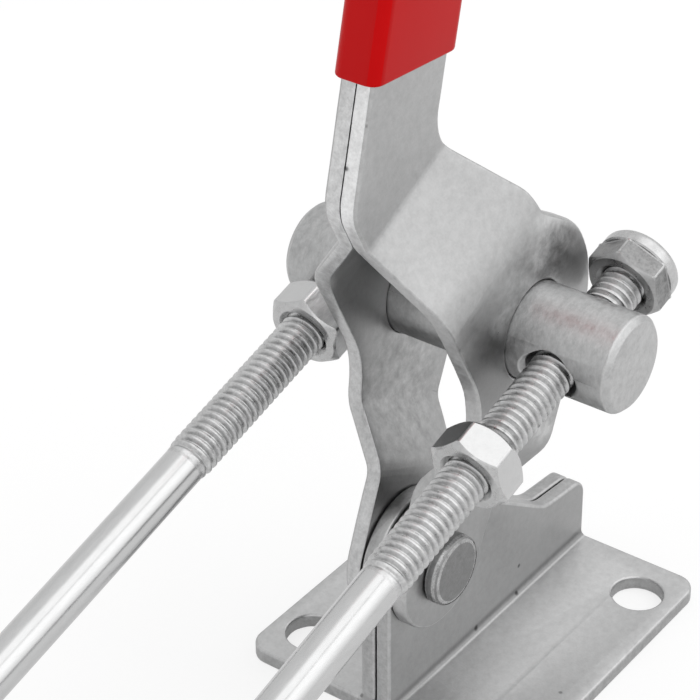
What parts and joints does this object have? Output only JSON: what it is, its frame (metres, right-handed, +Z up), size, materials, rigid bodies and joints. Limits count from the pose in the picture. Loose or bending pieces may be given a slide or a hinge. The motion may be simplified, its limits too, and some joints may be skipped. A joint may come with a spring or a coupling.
{
  "type": "over centre toggle latch",
  "caption": "Adjustable toggle latch: riveted pressed plates, lever with a soft grip, swivel bar and a threaded U-shaped hook held by nuts.",
  "frame": {"origin": "centre of the four fixing holes, on the underside of the base", "axes": "+X the way the hook is pulled when the latch closes, +Y to the left, +Z up, away from the surface that the base is fixed to"},
  "size_m": [0.1746, 0.065, 0.2156],
  "materials": {
    "plated_sheet": "zinc plated pressed sheet",
    "plated_rivet": "zinc plated, headed",
    "plated_bar": "zinc plated, turned",
    "plated_rod": "bright zinc plated rod",
    "plated_nut": "bright zinc plated",
    "grip_vinyl": "glossy red soft vinyl",
    "nylon_ring": "plain nylon"
  },
  "bodies": {
    "base": {"base_plate_left": "plated_sheet", "base_plate_right": "plated_sheet", "pivot_rivet": "plated_rivet"},
    "handle": {"handle_plate_left": "plated_sheet", "handle_plate_right": "plated_sheet", "grip_sleeve": "grip_vinyl"},
    "bar": {"swivel_bar": "plated_bar"},
    "hook": {"u_bolt": "plated_rod"},
    "front_nut_left": {"front_nut_left": "plated_nut"},
    "front_nut_right": {"front_nut_right": "plated_nut"},
    "lock_nut_left": {"lock_nut_left": "plated_nut", "lock_insert_left": "nylon_ring"},
    "lock_nut_right": {"lock_nut_right": "plated_nut", "lock_insert_right": "nylon_ring"}
  },
  "joints": [
    {"name": "handle_pivot", "type": "hinge", "parent": "base", "child": "handle", "pos_m": [-0.0199, 0, 0.029], "axis": [0, 1, 0], "range_deg": [-30, 75]},
    {"name": "bar_swivel", "type": "hinge", "parent": "handle", "child": "bar", "pos_m": [-0.005, 0, 0.072], "axis": [0, 1, 0], "range_deg": [-60, 24]},
    {"name": "hook_slide", "type": "slide", "parent": "bar", "child": "hook", "axis": [-0.9655, 0, -0.2605], "range_m": [-0.003, 0.006]},
    {"name": "front_nut_left_turn", "type": "hinge", "parent": "hook", "child": "front_nut_left", "pos_m": [-0.01939, 0.0213, 0.06812], "axis": [-0.9655, 0, -0.2605], "continuous": true},
    {"name": "front_nut_right_turn", "type": "hinge", "parent": "hook", "child": "front_nut_right", "pos_m": [-0.03329, -0.0213, 0.06437], "axis": [-0.9655, 0, -0.2605], "continuous": true},
    {"name": "lock_nut_left_turn", "type": "hinge", "parent": "hook", "child": "lock_nut_left", "pos_m": [0.01267, 0.0213, 0.07677], "axis": [-0.9655, 0, -0.2605], "continuous": true},
    {"name": "lock_nut_right_turn", "type": "hinge", "parent": "hook", "child": "lock_nut_right", "pos_m": [0.01267, -0.0213, 0.07677], "axis": [-0.9655, 0, -0.2605], "continuous": true}
  ],
  "couplings": [
    {"joint": "bar_swivel", "follows": "handle_pivot", "ratio": -0.8}
  ]
}
